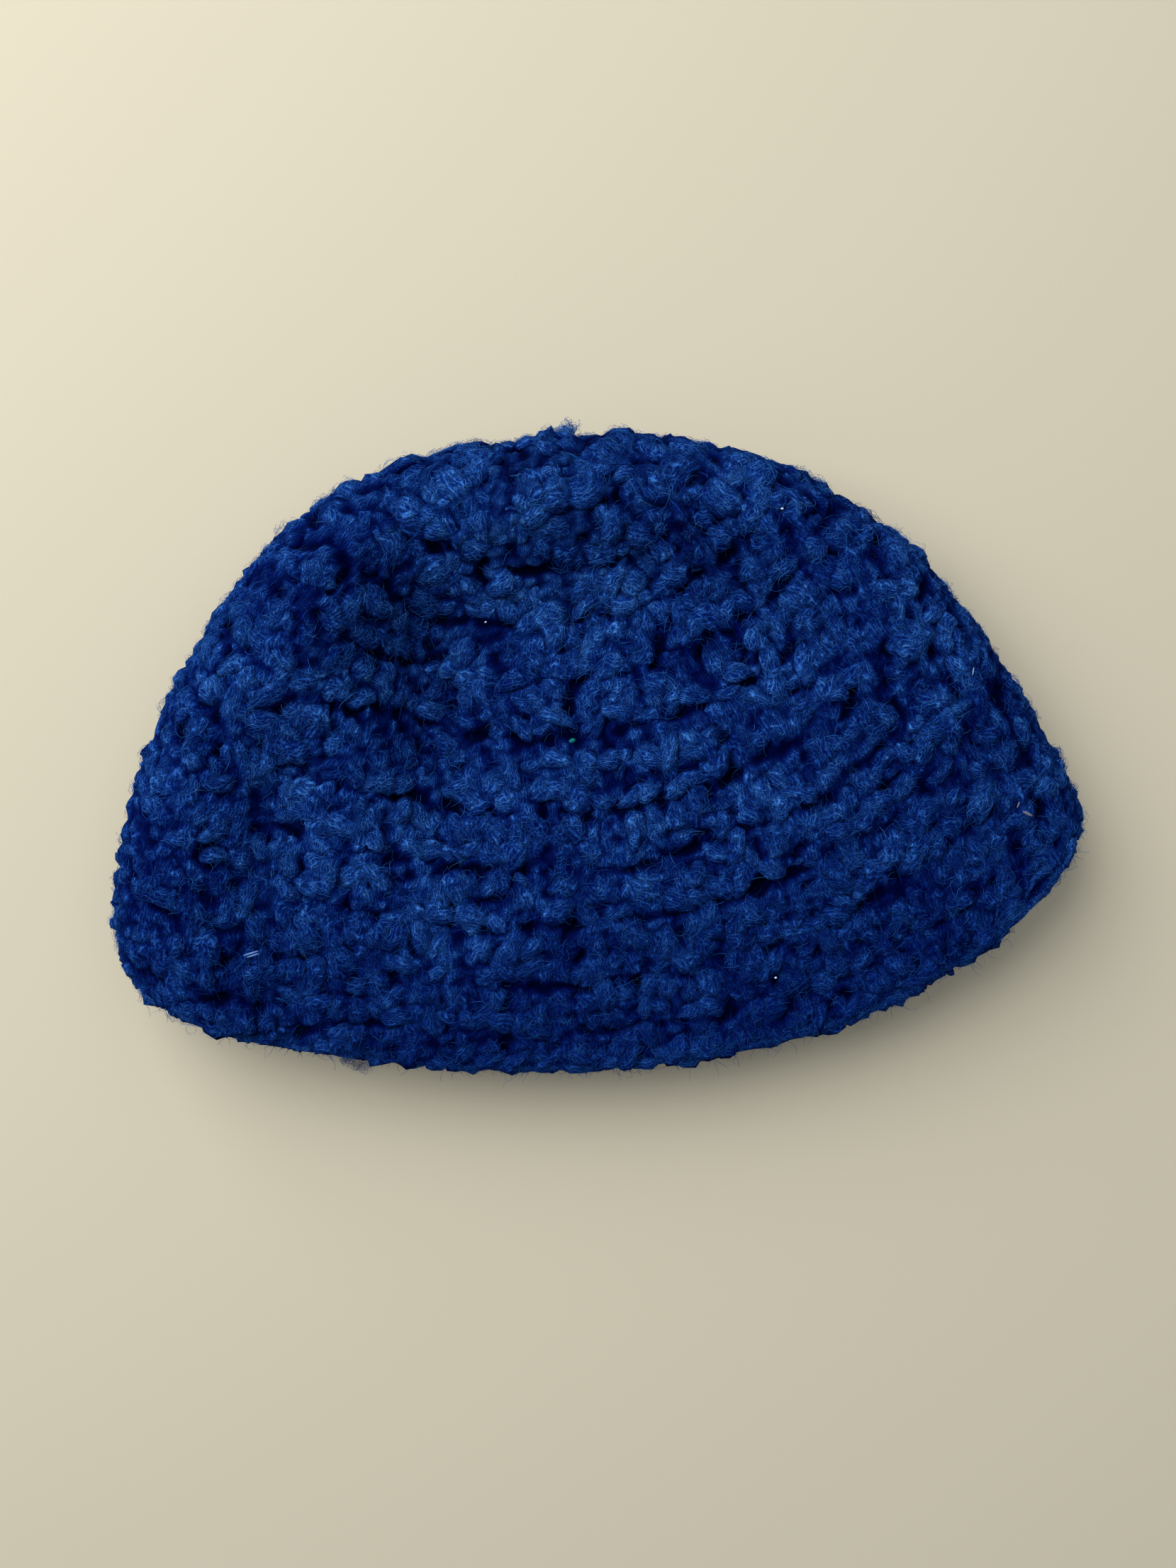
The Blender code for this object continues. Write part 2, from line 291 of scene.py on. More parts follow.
class Look:
    def __init__(self, name, finish):
        self.material = bpy.data.materials.new(name)
        self.material.use_nodes = True
        self.tree = self.material.node_tree
        self.shader = next(n for n in self.tree.nodes if n.type == "BSDF_PRINCIPLED")
        for key, value in {"Specular IOR Level": 0.0, **finish}.items():
            self.shader.inputs[key].default_value = value

    def node(self, kind, settings=None, inputs=None, output=0):
        made = self.tree.nodes.new(kind)
        for key, value in (settings or {}).items():
            setattr(made, key, value)
        for key, value in (inputs or {}).items():
            if isinstance(value, Wire):
                self.tree.links.new(value.socket, made.inputs[key])
            else:
                made.inputs[key].default_value = value
        return Wire(self, made.outputs[output])

    def shift(self, vector, amount):
        return self.node("ShaderNodeVectorMath", {"operation": "ADD"}, {0: vector, 1: amount})

    def stretch(self, vector, amount):
        return self.node("ShaderNodeVectorMath", {"operation": "MULTIPLY"}, {0: vector, 1: amount})

    def turned(self, vector, angle):
        return self.node("ShaderNodeMapping", {}, {"Vector": vector, "Rotation": (0.0, 0.0, angle)})

    def ramp(self, share, stops):
        made = self.node("ShaderNodeValToRGB", {}, {0: share})
        line = made.socket.node.color_ramp
        line.elements[0].position, line.elements[0].color = stops[0]
        line.elements[-1].position, line.elements[-1].color = stops[-1]
        for position, tint in stops[1:-1]:
            line.elements.new(position).color = tint
        return made

    def noise(self, vector, scale, detail=2.0, roughness=0.5, distortion=0.0, output=0):
        return self.node("ShaderNodeTexNoise", {}, {"Vector": vector, "Scale": scale, "Detail": detail,
                                                    "Roughness": roughness, "Distortion": distortion}, output)

    def strands(self, vector, pitch, wander, width):  # many near-parallel lines, 0 to 1
        sideways = self.node("ShaderNodeSeparateXYZ", {}, {0: vector})
        bands = self.noise(vector, 1.0, 1.0, 0.5, 0.4) * wander + sideways * pitch
        return (1.0 - bands.combine("PINGPONG", bands, 0.5) / width).clamped()

    def curlyLines(self, vector, scale, width, distortion=0.8):  # thin winding lines, 0 to 1
        away = abs(self.noise(vector, scale, 1.0, 0.5, distortion) - 0.5)
        return (1.0 - away / width).clamped()

    def lead(self, wire, name):
        self.tree.links.new(wire.socket, self.shader.inputs[name])

    def addBump(self, height, distance):
        self.lead(self.node("ShaderNodeBump", {}, {"Height": height, "Distance": distance}), "Normal")


def colour(*rgb):
    return (*rgb, 1.0)


# yarn: fine curly fibres over lobes of thick yarn
yarnFinish = {
    "tones": ((0.00, colour(0.0002, 0.0003, 0.0150)), (0.16, colour(0.0004, 0.0016, 0.0400)),
              (0.40, colour(0.0013, 0.0092, 0.0860)), (0.62, colour(0.0054, 0.0340, 0.1820)),
              (0.82, colour(0.0165, 0.0790, 0.3050)), (1.00, colour(0.0420, 0.1640, 0.4900))),
    "fibreTones": ((0.00, colour(0.0006, 0.0050, 0.0480)), (0.40, colour(0.0050, 0.0420, 0.1950)),
                   (0.75, colour(0.0180, 0.0980, 0.3500)), (1.00, colour(0.0700, 0.2100, 0.5400))),
    "yarn": {"Roughness": 0.95, "Sheen Weight": 0.02, "Sheen Roughness": 0.45,
             "Sheen Tint": colour(0.10, 0.30, 0.95)},
    "fibre": {"Roughness": 0.85, "Sheen Weight": 0.02, "Sheen Roughness": 0.40,
              "Sheen Tint": colour(0.10, 0.30, 0.95)},
    "strands": (  # turn, stretch round and along the lobe, pitch, wander, width
        (0.00, (330.0, 110.0, 1.0), 4.6, 5.5, 0.28),
        (0.50, (310.0, 120.0, 1.0), 4.4, 6.0, 0.24),
        (-0.65, (290.0, 120.0, 1.0), 4.4, 6.5, 0.24)),
    "curls": (  # shift, scale, width, distortion
        ((0.0, 0.0, 0.0), 330.0, 0.014, 0.4),
        ((0.3, 0.2, 0.1), 480.0, 0.019, 0.5),
        ((0.1, 0.4, 0.2), 640.0, 0.025, 0.5)),
    "wiggle": (0.0013, 0.0013, 0.0013),
    "base": 0.29,
    "fromTone": 0.10,
    "fromClumps": 0.60,
    "fromPatches": 0.60,
    "fromLines": 0.28,
    "fromClumpedLines": 0.50,
    "paintedShadeBand": (22.0, 1.45),   # painted shade, darker towards the mouth: slope and start over the hat's length
    "sunken": (3.5, 1.84),   # painted shade between the lobes: slope and start over the yarn's height
    "fibrePaintedGapShade": (2.4, 0.80),
    # how much darker the painted shade makes the band by the mouth
    "paintedBandShade": 0.26,
    "fibrePaintedBandShade": 0.22,
    "bump": 0.0006,
}


def lobeFacts(look):  # height and top, which drive the painted shade and highlight, and the yarn's own tone; each mesh keeps them as colours
    facts = look.node("ShaderNodeAttribute", {"attribute_name": "lobe"})
    split = look.node("ShaderNodeSeparateColor", {}, {0: facts})
    return [Wire(look, socket) for socket in split.socket.node.outputs]


def paintedMouthBandShade(look, place, paintedDarkness):  # painted shade: the band by the mouth is coloured darker, the rest is left as it is
    slope, start = yarnFinish["paintedShadeBand"]
    up = look.node("ShaderNodeSeparateXYZ", {}, {0: place}, 1)
    return (1.0 - paintedDarkness) + (up * slope + start).clamped() * paintedDarkness


# painted shade: yarn that lies lower is coloured darker, standing in for the shade between the lobes
def sunkenShade(height, slope, start):
    return (height * slope - start).clamped()


def yarnLook():
    look = Look("crochetYarn", yarnFinish["yarn"])
    place = look.node("ShaderNodeTexCoord", output=3)
    height, tone, top = lobeFacts(look)
    flow = look.node("ShaderNodeUVMap", {"uv_map": "yarnFlow"})
    wander = look.shift(look.noise(place, 420.0, 1.0, output=1), (-0.5, -0.5, -0.5))
    bent = look.shift(flow, look.stretch(wander, yarnFinish["wiggle"]))
    along, slanted, backslanted = (
        look.strands(look.stretch(look.turned(bent, turn), size), pitch, sway, width)
        for turn, size, pitch, sway, width in yarnFinish["strands"])
    wide, finer, finest = (look.curlyLines(look.shift(place, amount), scale, width, distortion)
                           for amount, scale, width, distortion in yarnFinish["curls"])
    curls = wide.larger(finer).larger(finest)
    which = look.noise(place, 330.0, 1.0)   # which way the fibres slant here
    lines = (along * 0.90).larger(slanted * (which * 6.0 - 2.6).clamped())
    lines = lines.larger(backslanted * (3.0 - which * 6.0).clamped())
    clumps = look.noise(place, 430.0, 2.0, 0.6, 0.4)
    patches = look.noise(place, 40.0, 3.0, 0.6)
    value = (yarnFinish["base"] + tone * yarnFinish["fromTone"] + (clumps - 0.5) * yarnFinish["fromClumps"]
             + (patches - 0.5) * yarnFinish["fromPatches"]
             + lines.larger(curls) * (yarnFinish["fromLines"] + clumps * yarnFinish["fromClumpedLines"]))
    # painted shade and highlight: darker between the lobes and in the band by the mouth, lighter on the
    # lobes' tops
    shade = (sunkenShade(height, *yarnFinish["sunken"]) * (0.70 + top * 0.34)
             * paintedMouthBandShade(look, place, yarnFinish["paintedBandShade"]))
    look.lead(look.ramp(value * shade, yarnFinish["tones"]), "Base Color")
    look.addBump(lines * 0.4 + curls * 0.4 + clumps * 2.0, yarnFinish["bump"])
    return look.material


def fibreLook():
    look = Look("looseFibre", yarnFinish["fibre"])
    place = look.node("ShaderNodeTexCoord", output=3)
    height, tone, top = lobeFacts(look)
    along = look.noise(place, 260.0, 1.0)
    value = tone * 0.58 + (along - 0.5) * 0.8 + 0.20 + top * 0.20
    # painted shade: darker in the band by the mouth and between the lobes
    shade = (paintedMouthBandShade(look, place, yarnFinish["fibrePaintedBandShade"])
             * sunkenShade(height, *yarnFinish["fibrePaintedGapShade"]))
    look.lead(look.ramp(value * shade, yarnFinish["fibreTones"]), "Base Color")
    return look.material


yarnMaterial, fibreMaterial = yarnLook(), fibreLook()
print("materials made")


def addObject(name, data):
    made = bpy.data.objects.new(name, data)
    bpy.context.scene.collection.objects.link(made)
    return made


def addPiece(name, mesh, material):
    mesh.materials.append(material)
    piece = addObject(name, mesh)
    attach(piece, "root")
    return piece


def templateFrom(bm):  # points and triangle corners of a shape, turned from along Z to along X
    bmesh.ops.rotate(bm, verts=bm.verts[:], matrix=Euler((0.0, math.pi / 2, 0.0)).to_matrix())
    bmesh.ops.triangulate(bm, faces=bm.faces[:])
    bm.verts.index_update()
    points = np.array([v.co[:] for v in bm.verts])
    corners = np.array([[v.index for v in f.verts] for f in bm.faces])
    bm.free()
    return points, corners


def turnMap(points, corners):  # once round the length, kept whole over the seam
    angle = np.arctan2(points[:, 2], points[:, 1]) / (2 * math.pi) + 0.5
    around = angle[corners]
    pole = np.hypot(points[:, 1], points[:, 2])[corners] < 1e-5
    wide = np.array([np.ptp(a[~p]) for a, p in zip(around, pole)])
    around = np.where((wide[:, None] > 0.5) & (around < 0.5), around + 1.0, around)
    for a, p in zip(around, pole):
        a[p] = a[~p].mean()
    along = points[corners][..., 0]
    low, high = points[:, 0].min(), points[:, 0].max()
    return np.stack([around / 1.1, (along - low) / (high - low)], axis=2)


def joinCopies(name, places, corners, cellMap, facts, flow, material):
    count, size = places.shape[:2]
    mesh = bpy.data.meshes.new(name)
    loops = (corners.ravel()[None] + size * np.arange(count)[:, None]).ravel()
    faces = len(loops) // 3
    mesh.vertices.add(count * size)
    mesh.vertices.foreach_set("co", places.astype(np.float32).ravel())
    mesh.loops.add(len(loops))
    mesh.loops.foreach_set("vertex_index", loops.astype(np.int32))
    mesh.polygons.add(faces)
    mesh.polygons.foreach_set("loop_start", np.arange(faces, dtype=np.int32) * 3)
    mesh.polygons.foreach_set("use_smooth", np.ones(faces, bool))
    mesh.update(calc_edges=True)
    side = math.ceil(math.sqrt(count))
    cell = np.stack([np.arange(count) % side, np.arange(count) // side], axis=1)[:, None, :]
    cells = (cell + 0.06 + 0.88 * cellMap.reshape(1, -1, 2)) / side
    mesh.uv_layers.new(name="OFBake").data.foreach_set("uv", cells.astype(np.float32).ravel())
    if flow is not None:
        mesh.uv_layers.new(name="yarnFlow").data.foreach_set("uv", flow.astype(np.float32).ravel())
    layer = mesh.attributes.new("lobe", "FLOAT_COLOR", "POINT")
    layer.data.foreach_set("color", facts.astype(np.float32).ravel())
    return addPiece(name, mesh, material)


def smoothNoise(points, length, seed):  # soft wander of a value over space, about -1 to 1
    pick = np.random.default_rng(seed)
    total = np.zeros(len(points))
    for _ in range(9):
        way = pick.normal(size=3)
        way *= 2 * math.pi / length / np.linalg.norm(way) * pick.uniform(0.6, 1.5)
        total += np.sin(points @ way + pick.uniform(0, 2 * math.pi))
    return total / 3.0


yarnTop = 0.0054   # height over the middle of the fabric that counts as the top of the yarn, against which the painted shade between the lobes is reckoned
# painted shade on the dent's steep side
paintedDentShadow = {"middle": (-0.0345, 0.0260), "half": (0.0115, 0.0200), "above": 0.010, "paintedDarkness": 0.085}
clump = {"rise": 0.00042, "crownRise": 0.00065, "length": 0.0105, "seed": 33}


def paintedDentShade(spots):  # painted shade: the steep side of the dent is coloured darker, where less light reaches
    away = (spots[..., :2] - paintedDentShadow["middle"]) / paintedDentShadow["half"]
    return paintedDentShadow["paintedDarkness"] * np.exp(-(away ** 2).sum(axis=-1)) * (spots[..., 2] > paintedDentShadow["above"])


def clumpRise(spots):  # bundles of yarn that stand out of the rest
    return clump["rise"] * smoothNoise(spots, clump["length"], clump["seed"])


def crownPuff(spots, position):  # the looser crown puffs out more
    looser = np.clip((5.0 - position) / 2.5, 0.0, 1.0)
    return clump["crownRise"] * looser * smoothNoise(spots, clump["length"], clump["seed"])


# backing: the body of the fabric, from the crown over the mouth's edge to the inner crown
backing = {
    "outer": 0.0041,
    "inner": -0.0034,
    "edge": ((12.03, 0.0026), (12.06, 0.0003), (12.02, -0.0024)),   # round, height
    "edgeWander": 0.025,
    "around": 300,
    "outerRows": 145,
    "innerRows": 26,
    "groove": 0.0015,
    "grooveWidth": 0.075,
    "groovedMiddle": (0.005, 0.005),
    "groovedHalf": (0.055, 0.050),
    "lumps": 0.00085,
    "lumpLength": 0.0044,
    "pits": 0.0026,
    "pitLength": 0.0062,
    "litEdge": 0.0044,   # height that the edge and the inside are coloured as, so that the painted shade between the lobes leaves them unshaded
    # painted light where the fabric turns over at the outline
    "paintedRimLight": 0.0010,
}


def backingHeight(turn, position, spots):  # grooves between the rounds, lumps and pits
    fromGroove = np.abs(position - np.rint(position) + 0.035 * smoothNoise(spots, 0.02, 5))
    deep = np.exp(-(fromGroove / backing["grooveWidth"]) ** 2) * (position > 0.5) * (position < 11.7)
    across, up = ((spots[:, :2] - backing["groovedMiddle"]) / backing["groovedHalf"]).T
    middle = np.exp(-across ** 4 - up ** 4)
    strength = np.clip(0.20 + 0.85 * middle + 0.55 * smoothNoise(spots, 0.014, 6), 0.0, 1.4)
    pits = np.clip(smoothNoise(spots, backing["pitLength"], 9) - 0.62, 0.0, 0.8)
    flat = 1 - 0.75 * np.exp(-(facingUp(turn, position) / 0.35) ** 2)
    rough = flat * np.clip((12.0 - position) / 0.5, 0.15, 1.0)
    lumps = backing["lumps"] * smoothNoise(spots, backing["lumpLength"], 7)
    return (backing["outer"] - 0.0003 * (1 - rough) - backing["groove"] * deep * strength
            + rough * (lumps - backing["pits"] * pits))


def makeBacking():
    outer = np.linspace(fabric["firstRound"], roundCount, backing["outerRows"])
    inner = np.linspace(roundCount, fabric["firstRound"], backing["innerRows"])
    rows = np.vstack([np.column_stack([outer, np.full(len(outer), backing["outer"])]), backing["edge"],
                      np.column_stack([inner, np.full(len(inner), backing["inner"])])])
    around = backing["around"]
    bm = bmesh.new()
    bmesh.ops.create_grid(bm, x_segments=around, y_segments=len(rows) - 1, size=1.0)
    place = np.array([v.co[:2] for v in bm.verts]) / 2 + 0.5
    row = np.rint(place[:, 1] * (len(rows) - 1)).astype(int)
    column = np.rint(place[:, 0] * around).astype(int)
    turn, position, height = column / around, rows[row, 0], rows[row, 1].copy()
    outside = row < backing["outerRows"]
    spots = onFabric(turn, position, height)
    atEdge = position > 11.98
    position[atEdge] += backing["edgeWander"] * smoothNoise(spots[atEdge], 0.012, 31)
    spots = onFabric(turn, position, height)
    height[outside] = backingHeight(turn, position, spots)[outside]
    spots = onFabric(turn, position, height + crownPuff(spots, position) * outside)
    for end in (0, len(rows) - 1):
        spots[row == end] = spots[row == end].mean(axis=0)
    spots[:, 2] = np.maximum(spots[:, 2], 0.0008)
    fact = bm.verts.layers.float_color.new("lobe")
    own, flow = bm.loops.layers.uv.new("OFBake"), bm.loops.layers.uv.new("yarnFlow")
    tone = np.clip(0.5 + 0.4 * smoothNoise(spots, 0.005, 11), 0.0, 1.0)
    # painted highlight: lighter where the backing's lumps rise, darker where they sink
    top = np.clip(0.42 + 0.42 * smoothNoise(spots, backing["lumpLength"], 7), 0.0, 1.0)
    top = np.where(position > 11.9, 1.3, top)   # painted light: the edge is coloured lighter, as if lit through its fuzz
    # painted shade between the lobes by height, with the edge and the inside kept unshaded
    height = np.where(outside & (position < 11.9), height, backing["litEdge"])
    # painted light: the backing where it turns over at the outline is coloured lighter
    height = height + backing["paintedRimLight"] * np.exp(-(facingUp(turn, position) / 0.35) ** 2)
    # painted shade on the dent's steep side
    height = height - yarnTop * paintedDentShade(spots)
    for f in bm.faces:
        f.smooth = True
        for loop in f.loops:
            i = loop.vert.index
            loop[own].uv = (0.003 + 0.994 * place[i, 0], 0.003 + 0.994 * place[i, 1])
            loop[flow].uv = (turn[i] * 0.45, row[i] * 0.0011)
    for v, spot, up, shade, crest in zip(bm.verts, spots, height, tone, top):
        v.co = spot
        v[fact] = (min(max(up / yarnTop, 0.0), 1.0), shade, crest, 1.0)
    bmesh.ops.remove_doubles(bm, verts=bm.verts[:], dist=1e-6)
    bmesh.ops.recalc_face_normals(bm, faces=bm.faces[:])
    mesh = bpy.data.meshes.new("fabric_body")
    bm.to_mesh(mesh)
    bm.free()
    return addPiece("fabric_body", mesh, yarnMaterial)


fabricBody = makeBacking()
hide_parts("crochet_shell")
print("fabric body made", len(fabricBody.data.polygons))


# stitches: two posts and two loops of thick yarn in each
stitch = {
    "width": 0.0102,
    "posts": ((-0.24, -0.15, 116.0), (0.24, -0.14, 64.0)),   # across, along, turn in degrees
    "loops": ((-0.25, 0.270, -26.0), (0.25, 0.300, 22.0)),
    "postSize": (0.395, 0.308, 0.00210, 0.0028),   # share of height, share of width, thickness, middle
    "loopSize": (0.470, 0.212, 0.00205, 0.0029),
    "tallest": (0.0150, 0.0140),   # for a post, for a loop
    "longLimits": (0.0026, 0.0054),
    "wideLimits": (0.0020, 0.0036),
    "strays": 1.15,   # short bits of yarn between them, for each stitch
    "crownStrays": 2.6,
    "strayLong": (0.0028, 0.0048),
    "strayWide": (0.0016, 0.0025),
    "strayThick": 0.86,
    "edgeStitches": 42,
    "edgeLoops": ((-0.33, -6.0), (0.0, 0.0), (0.33, 6.0)),   # across, turn in degrees
    "edgeLong": 0.34,
    "edgeMiddle": 0.0018,
    "edgeLevel": 0.0042,   # height that the edge's loops are coloured as, for the painted shade between the lobes
    # painted light on the edge's loops
    "edgePaintedLight": 1.4,
    "edgeTurnJitter": 4.0,
    "edgeDip": 0.0004,
    "dip": 0.0011,
    "bend": 0.12,
    "turnJitter": 24.0,
    "sizeJitter": 0.15,
    "placeJitter": 0.00115,
    "heightJitter": 0.00036,
    "drift": 0.0016,
    "driftLength": 0.017,
    "innerFrom": 8,
    "innerSink": 0.0008,
    "holes": ((0.0953, -0.0187, 0.0052), (-0.0166, -0.0414, 0.0042), (0.0391, -0.0406, 0.0042),
              (-0.0147, -0.0273, 0.0032), (-0.0384, 0.0233, 0.0040), (-0.0441, -0.0039, 0.0036),
              (0.0081, 0.0539, 0.0030)),   # x, y, clear radius
    "lumps": (0.10, 0.10, 0.06),
    "lumpNoise": 0.035,
    "unevenEnds": 0.30,
    "wander": 0.00045,
    "wanderLength": 0.0040,
}
lobeKinds = {"posts": 0, "loops": 1, "edge": 2, "strays": 3}


def lobeRows(turn, *values):  # a row for each lobe: turn, round, width, across, along, angle, kind
    return np.column_stack(np.broadcast_arrays(turn, *values))


def stitchRows(side):
    parts = []
    first = stitch["innerFrom"] if side < 0 else 0
    for index in range(first, roundCount):
        row = np.full(720, index + 0.55)
        ring = onFabric(np.linspace(0, 1, 720, endpoint=False), row, np.zeros(720))
        length = np.linalg.norm(np.roll(ring, -1, axis=0) - ring, axis=1).sum()
        count = max(int(round(length / stitch["width"])), 5)
        turn = (np.arange(count) + 0.5 * (index % 2) + 0.17 * index) / count
        for kind in ("posts", "loops"):
            for across, along, angle in stitch[kind]:
                parts.append(lobeRows(turn, index + 0.5, 1.0 / count, across, along, angle, lobeKinds[kind]))
        if side > 0:
            extra = int(count * stitch["crownStrays" if index < 3 else "strays"])
            parts.append(lobeRows(rng.uniform(size=extra), index + 0.5, 1.0 / count, 0.0,
                                  rng.uniform(-0.42, 0.42, size=extra), rng.uniform(0, 180, size=extra),
                                  lobeKinds["strays"]))
    return np.vstack(parts)


def edgeRow():  # the chain of loops that finishes the mouth
    turn = (np.arange(stitch["edgeStitches"]) + 0.3) / stitch["edgeStitches"]
    return np.vstack([lobeRows(turn, roundCount, 1.0 / len(turn), across, -0.02, angle, lobeKinds["edge"])
                      for across, angle in stitch["edgeLoops"]])


def lobeSizes(position, w, h, loop, edge, stray):
    count = len(position)
    grow = 1 + rng.normal(size=(count, 3)) * stitch["sizeJitter"] * (1.0, 1.0, 0.5)
    post, chain = stitch["postSize"], stitch["loopSize"]
    long = np.where(loop, chain[0] * w, post[0] * np.minimum(h, stitch["tallest"][0]))
    long = np.where(edge, stitch["edgeLong"] * w, long)
    wide = np.where(loop | edge, chain[1] * np.minimum(h, stitch["tallest"][1]), post[1] * w)
    long = np.clip(long, *stitch["longLimits"]) * grow[:, 0]
    wide = np.clip(wide, *stitch["wideLimits"]) * grow[:, 1]
    looser = np.clip((4.5 - position) / 2.0, 0.0, 1.0)   # the crown is worked looser
    long, wide = long * (1 + 0.10 * looser), wide * (1 + 0.26 * looser)
    long = np.where(stray, rng.uniform(*stitch["strayLong"], size=count) + 0.0004 * looser, long)
    wide = np.where(stray, rng.uniform(*stitch["strayWide"], size=count) + 0.0009 * looser, wide)
    thick = np.where(loop | edge, chain[2], post[2]) * grow[:, 2] * np.where(stray, stitch["strayThick"], 1.0)
    middle = np.where(loop, chain[3], post[3]) + rng.normal(size=count) * stitch["heightJitter"]
    return long, wide, thick, middle


def openHoles(lobes, spot, keep):  # one lobe left out at each hole, its neighbours smaller
    for x, y, clear in stitch["holes"]:
        far = np.linalg.norm(spot[:, :2] - (x, y), axis=1)
        near = (far < clear * 1.5) & (spot[:, 2] > 0.012)
        if near.any():
            keep[np.flatnonzero(near)[np.argmin(far[near])]] = False
        for key in ("long", "wide"):
            lobes[key] = np.where(near, lobes[key] * 0.88, lobes[key])


def lobesFrom(rows, side):
    turn, position, width, across, along, angle, kind = rows.T
    count = len(turn)
    loop, edge, stray = (kind == lobeKinds[name] for name in ("loops", "edge", "strays"))
    steps = fromRings(fabricSteps, turn, np.minimum(position, roundCount - 0.5))
    w, h = width / steps[:, 0], 1.0 / steps[:, 2]   # a stitch's width and height
    centre = onFabric(turn, position, np.zeros(count))
    jitter = rng.normal(size=(count, 2)) * stitch["placeJitter"]
    a = across * w + jitter[:, 0] + stitch["drift"] * smoothNoise(centre, stitch["driftLength"], 3)
    b = along * h + jitter[:, 1] * 0.7 + stitch["drift"] * smoothNoise(centre, stitch["driftLength"], 8)
    swing = np.where(edge, stitch["edgeTurnJitter"], stitch["turnJitter"])
    angle = np.radians(angle + rng.normal(size=count) * swing)
    long, wide, thick, middle = lobeSizes(position, w, h, loop, edge, stray)
    if side < 0:
        middle = middle - stitch["innerSink"]
    middle = np.where(edge, stitch["edgeMiddle"] + rng.normal(size=count) * 0.0002, middle)
    reach = np.abs(long * np.sin(angle)) * 0.9 + np.abs(wide * np.cos(angle)) * 0.8
    room = (12.10 - position) * h - reach   # the yarn ends at the mouth's edge
    b = np.minimum(b, room + rng.uniform(0.0, 0.0003, size=count))
    calm = np.exp(-(facingUp(turn, position) / 0.40) ** 2) * (side > 0)   # the outline is softer than the top
    middle, thick = middle - 0.0005 * calm, thick * (1 - 0.16 * calm)
    lobes = {"turn": turn, "position": position, "angle": angle, "long": long, "wide": wide, "thick": thick,
             "edge": edge * stitch["edgePaintedLight"], "dip": np.where(edge, stitch["edgeDip"], stitch["dip"]),
             "bend": rng.normal(size=count) * stitch["bend"], "side": np.full(count, float(side)),
             "tone": rng.uniform(size=count)}
    atTurn = turn + a * steps[:, 0] + b * steps[:, 1]
    atRound = position + b * steps[:, 2]
    lobes["root"] = onFabric(atTurn, atRound, np.zeros(count))
    middle = middle + np.where(edge, 0.0, clumpRise(lobes["root"]))
    # level: the height that the painted shade between the lobes reads, fixed for the edge's loops
    lobes["level"] = np.where(edge, stitch["edgeLevel"], middle)
    lobes["middle"] = middle + crownPuff(lobes["root"], atRound) * (side > 0)
    lobes["frame"] = fromRings(fabricFrames, atTurn, np.clip(atRound, 0.0, roundCount))
    lobes["facing"] = lobes["frame"][:, 8] * side
    keep = (lobes["facing"] >= -0.1) | (atRound <= 11.2)   # nothing is pressed out flat under the edge
    if side > 0:
        openHoles(lobes, lobePlaces(lobes, *np.zeros((3, count, 1)))[:, 0], keep)
    return {key: value[keep] for key, value in lobes.items()}


def lobePlaces(lobes, x, y, z):  # from a lobe's own lengths to its place on the hat
    def column(key):
        return lobes[key][:, None]
    share = np.clip(x / column("long"), -1.6, 1.6)
    y = y + column("bend") * share ** 2 * column("long")
    z = z - column("dip") * share ** 2
    cos, sin = np.cos(column("angle")), np.sin(column("angle"))
    a, b = x * cos - y * sin, x * sin + y * cos
    frame = lobes["frame"][:, None, :]
    drop = 0.5 * (frame[..., 9] * a ** 2 + frame[..., 10] * b ** 2)
    up = (column("middle") + z) * column("side") - drop
    spots = (lobes["root"][:, None, :] + frame[..., 0:3] * a[..., None] + frame[..., 3:6] * b[..., None]
             + frame[..., 6:9] * up[..., None])
    spots[..., 2] = np.maximum(spots[..., 2], 0.0003 + 0.0004 * column("tone"))   # over the floor
    return spots


def pickLobes(lobes, chosen):
    return {key: value[chosen] for key, value in lobes.items()}


def lobeTemplate(around, rows):
    bm = bmesh.new()
    bmesh.ops.create_uvsphere(bm, u_segments=around, v_segments=rows, radius=1.0)
    points, corners = templateFrom(bm)
    along = np.clip(np.abs(points[:, 0]), 0.0, 0.999)
    fuller = np.sqrt((1 - along ** 2.8) / (1 - along ** 2))
    points[:, 1:] *= np.where(along < 0.99, fuller, 1.0)[:, None]
    return points, corners


